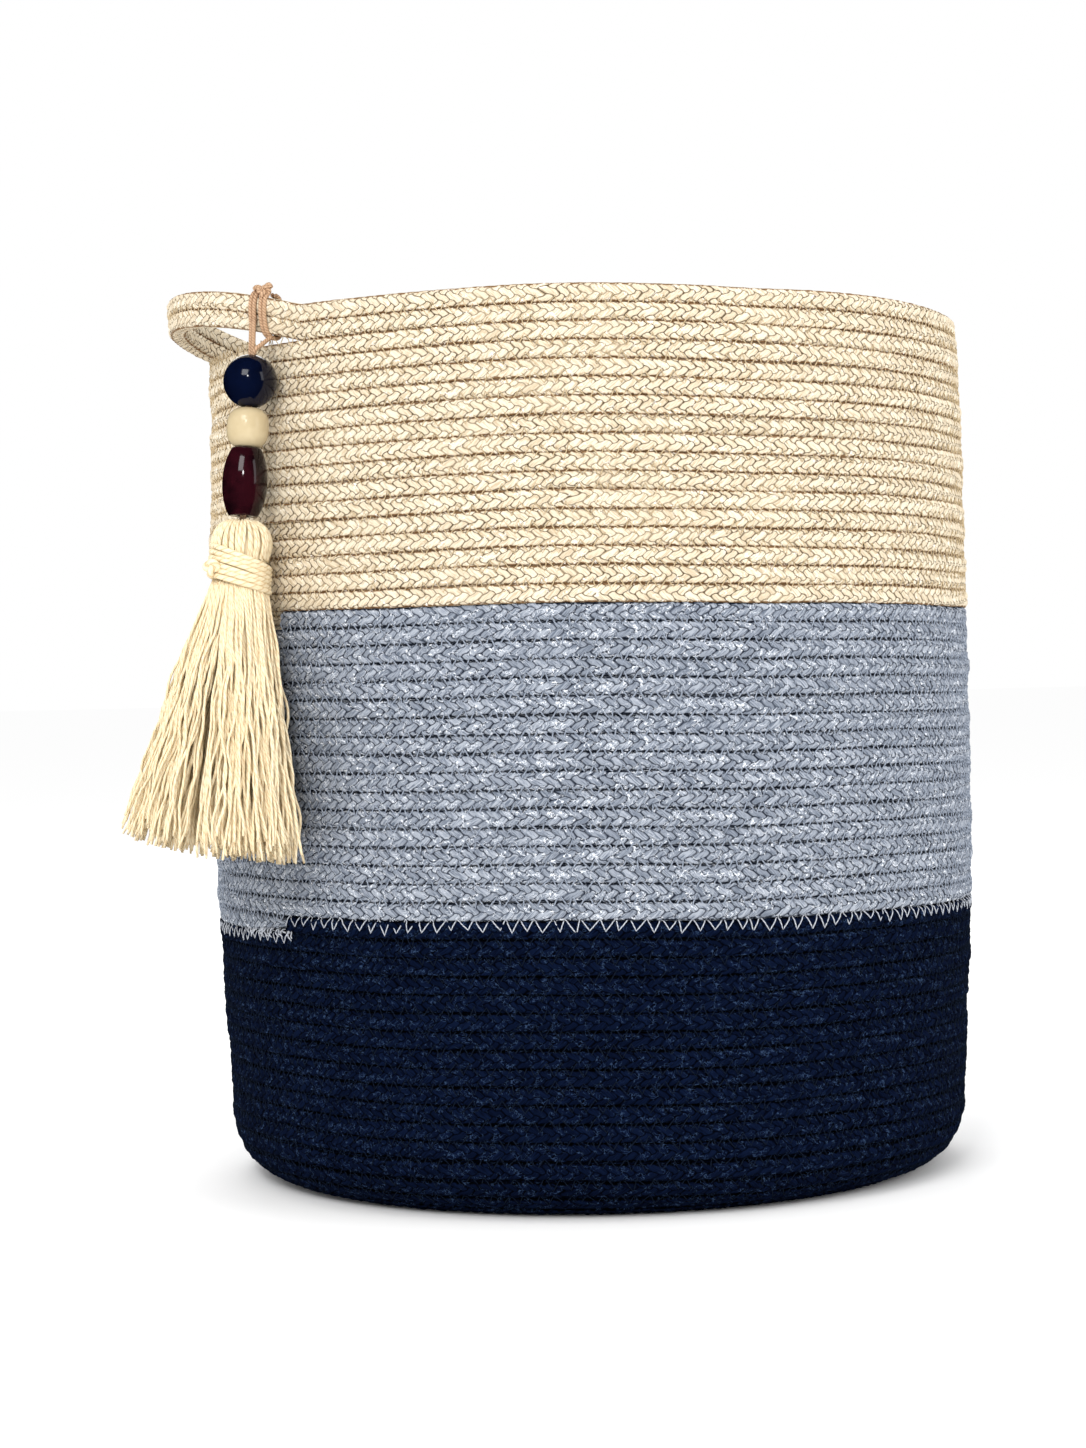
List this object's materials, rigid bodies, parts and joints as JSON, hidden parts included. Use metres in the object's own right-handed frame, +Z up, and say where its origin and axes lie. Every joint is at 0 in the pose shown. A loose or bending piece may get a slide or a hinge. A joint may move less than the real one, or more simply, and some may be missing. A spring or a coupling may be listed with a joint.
{
  "type": "rope basket planter",
  "caption": "Round planter basket of coiled braided rope in three colour bands, with a rope loop handle and a beaded yarn tassel that hangs from it.",
  "frame": {"origin": "centre of the underside of the base coil, on the surface the basket stands on", "axes": "+Z up along the basket's axis; the handle's middle is on -X; the tassel hangs at the handle's -Y end"},
  "size_m": [0.3463, 0.3, 0.3439],
  "materials": {
    "navy_rope": "matte",
    "grey_rope": "matte",
    "cream_rope": "matte",
    "navy_thread": "matte",
    "pale_thread": "matte",
    "cream_thread": "matte",
    "tan_cord": "satin",
    "navy_gloss": "gloss",
    "cream_gloss": "gloss",
    "oxblood_gloss": "gloss",
    "tassel_yarn": "matte"
  },
  "bodies": {
    "root": {"navy_base_coil": "navy_rope", "navy_rope_wall": "navy_rope", "grey_rope_wall": "grey_rope", "cream_rope_wall": "cream_rope", "handle_lower_rope": "cream_rope", "handle_upper_rope": "cream_rope", "navy_thread": "navy_thread", "join_thread": "pale_thread", "grey_thread": "pale_thread", "cream_thread": "cream_thread", "handle_thread": "cream_thread", "splice_fray": "pale_thread", "hanger_loop": "tan_cord", "hanger_knot": "tan_cord", "hanger_tails": "tan_cord"},
    "hanger": {"hanger_drop": "tan_cord"},
    "bead_string": {"bead_cord": "tan_cord", "stopper_knot": "tan_cord"},
    "navy_bead_body": {"navy_bead": "navy_gloss"},
    "cream_bead_body": {"cream_bead": "cream_gloss"},
    "oval_bead_body": {"oval_bead": "oxblood_gloss"},
    "tassel": {"tassel_head": "tassel_yarn", "neck_wrap": "tassel_yarn", "wrap_knot": "tassel_yarn", "tassel_skirt": "tassel_yarn"}
  },
  "joints": [
    {"name": "string_swing", "type": "hinge", "parent": "root", "child": "hanger", "pos_m": [-0.14084, -0.06374, 0.32265], "axis": [-0.4179, 0.9085, 0], "range_deg": [0, 75]},
    {"name": "string_sway", "type": "hinge", "parent": "hanger", "child": "bead_string", "pos_m": [-0.14345, -0.06598, 0.31655], "axis": [-0.9085, -0.4179, 0], "range_deg": [-25, 25]},
    {"name": "navy_bead_spin", "type": "hinge", "parent": "bead_string", "child": "navy_bead_body", "pos_m": [-0.14345, -0.06598, 0.3158], "axis": [0.0823, 0.0379, 0.9959], "continuous": true},
    {"name": "cream_bead_spin", "type": "hinge", "parent": "bead_string", "child": "cream_bead_body", "pos_m": [-0.14345, -0.06598, 0.3158], "axis": [0.0823, 0.0379, 0.9959], "continuous": true},
    {"name": "oval_bead_spin", "type": "hinge", "parent": "bead_string", "child": "oval_bead_body", "pos_m": [-0.14345, -0.06598, 0.3158], "axis": [0.0823, 0.0379, 0.9959], "continuous": true},
    {"name": "tassel_sway", "type": "hinge", "parent": "bead_string", "child": "tassel", "pos_m": [-0.14895, -0.06851, 0.24938], "axis": [-0.9085, -0.4179, 0], "range_deg": [-15, 15]}
  ]
}
